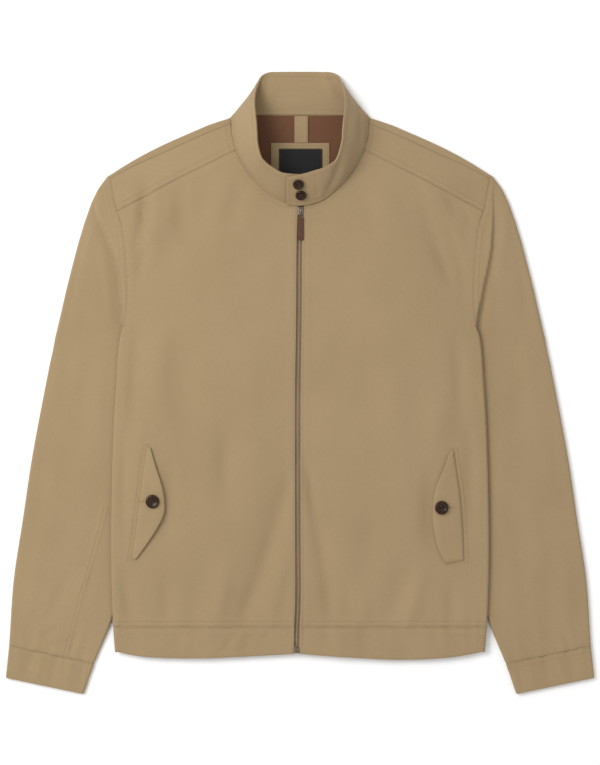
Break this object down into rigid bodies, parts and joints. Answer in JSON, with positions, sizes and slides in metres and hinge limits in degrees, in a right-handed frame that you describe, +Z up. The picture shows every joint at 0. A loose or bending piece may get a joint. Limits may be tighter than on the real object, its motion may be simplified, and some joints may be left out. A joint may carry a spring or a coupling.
{
  "type": "bomber jacket",
  "caption": "Zip-front bomber jacket with a stand collar, buttoned pocket flaps and plain bands, laid flat on its back with its sleeves at its sides.",
  "frame": {"origin": "on the surface that the jacket lies on, under the middle of its bounding box", "axes": "+Z up, away from the surface; +Y towards the collar; +X towards the wearer's left"},
  "size_m": [0.776, 0.8205, 0.0532],
  "materials": {
    "khaki_cotton": "matt cotton twill",
    "brown_lining": "smooth woven lining",
    "navy_label": "woven satin",
    "zip_tape": "woven tape",
    "dark_metal": "dark antique",
    "brown_leather": "smooth",
    "brown_horn": "polished horn"
  },
  "bodies": {
    "jacket": {"front_right": "khaki_cotton", "front_left": "khaki_cotton", "yoke_right": "khaki_cotton", "yoke_left": "khaki_cotton", "back": "khaki_cotton", "sleeve_right": "khaki_cotton", "sleeve_left": "khaki_cotton", "cuff_right": "khaki_cotton", "cuff_left": "khaki_cotton", "hem_band_right": "khaki_cotton", "hem_band_left": "khaki_cotton", "hem_band_back": "khaki_cotton", "collar": "khaki_cotton", "pocket_flap_right": "khaki_cotton", "pocket_flap_left": "khaki_cotton", "neck_patch": "khaki_cotton", "hanger_loop": "khaki_cotton", "back_lining": "brown_lining", "neck_label": "navy_label", "zip_tape_right": "zip_tape", "zip_tape_left": "zip_tape", "zip_slider": "dark_metal", "zip_box": "dark_metal", "collar_button_upper": "brown_horn", "collar_button_lower": "brown_horn", "pocket_button_right": "brown_horn", "pocket_button_left": "brown_horn"},
    "zip_pull": {"zip_pull_link": "dark_metal", "zip_pull_tab": "brown_leather"}
  },
  "joints": [
    {"name": "zip_pull_swing", "type": "hinge", "parent": "jacket", "child": "zip_pull", "pos_m": [0.0009, 0.224, 0.02243], "axis": [-1, 0, 0], "range_deg": [0, 115]}
  ]
}
